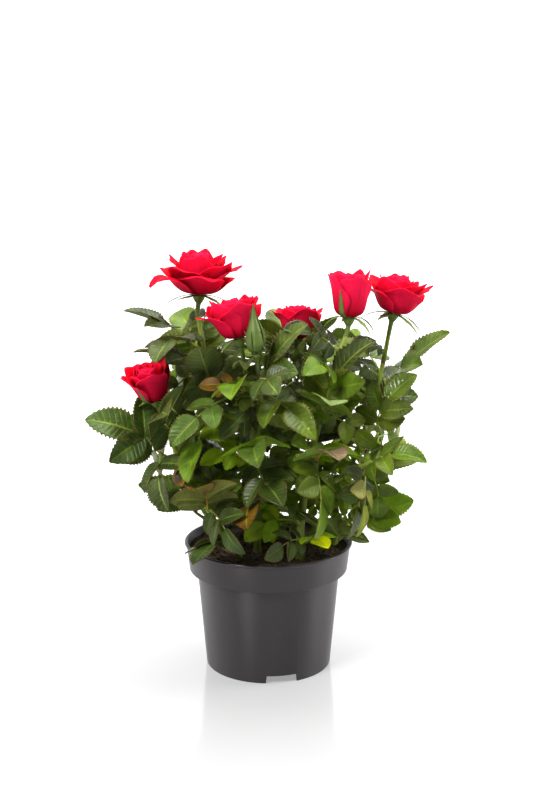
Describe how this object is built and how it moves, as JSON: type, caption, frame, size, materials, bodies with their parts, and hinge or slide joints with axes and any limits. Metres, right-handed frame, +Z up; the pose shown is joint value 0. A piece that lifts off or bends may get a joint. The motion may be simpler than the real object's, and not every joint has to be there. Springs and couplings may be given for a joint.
{
  "type": "rose bush",
  "caption": "Small red rose bush in a round nursery pot, with leafy canes and open blooms above the leaves.",
  "frame": {"origin": "middle of the pot's underside, on the surface that it stands on", "axes": "+Z up along the pot's axis, +X to the right and -Y to the front, as the plant is looked at"},
  "size_m": [0.2525, 0.1869, 0.2958],
  "materials": {
    "pot": "satin",
    "compost": "matte",
    "cane": "satin",
    "petal": "satin",
    "bud": "satin",
    "leaf": "satin"
  },
  "bodies": {
    "root": {"pot": "pot", "compost": "compost", "cane_left_tall": "cane", "cane_middle": "cane", "cane_back_middle": "cane", "cane_front": "cane", "cane_right_tall": "cane", "cane_left": "cane", "cane_left_front": "cane", "cane_right_low": "cane", "cane_back_left": "cane", "cane_back_right": "cane", "bough_bud": "cane", "bough_right": "cane", "bloom_top_left": "petal", "bloom_upper_left": "petal", "bloom_centre": "petal", "bloom_upper_right": "petal", "bloom_right": "petal", "bloom_left": "petal", "bud_tall": "bud", "leaves_top_left": "leaf", "leaves_left_high": "leaf", "leaves_left_front": "leaf", "leaves_left_rear": "leaf", "leaves_far_left": "leaf", "leaves_left_middle": "leaf", "leaves_left_back": "leaf", "leaves_left_low": "leaf", "leaves_left_side": "leaf", "leaves_left_bronze": "leaf", "leaves_front_bronze": "leaf", "leaves_over_rim": "leaf", "leaves_centre_left": "leaf", "leaves_centre_top": "leaf", "leaves_centre_front": "leaf", "leaves_centre_high": "leaf", "leaves_centre_rear": "leaf", "leaves_right_large": "leaf", "leaves_right_pale": "leaf", "leaves_front_mauve": "leaf", "leaves_front_low": "leaf", "leaves_front_pair": "leaf", "leaves_far_right": "leaf", "leaves_right_round": "leaf", "leaves_right_middle": "leaf", "leaves_right_side": "leaf", "leaves_right_rear": "leaf", "leaves_right_low": "leaf", "leaves_right_mid": "leaf", "leaves_front_yellow": "leaf", "leaves_right_rim": "leaf", "leaves_back_left_high": "leaf", "leaves_back_left_low": "leaf", "leaves_back_middle": "leaf", "leaves_back_right_high": "leaf", "leaves_back_right_low": "leaf", "leaves_back_low": "leaf"}
  },
  "joints": []
}
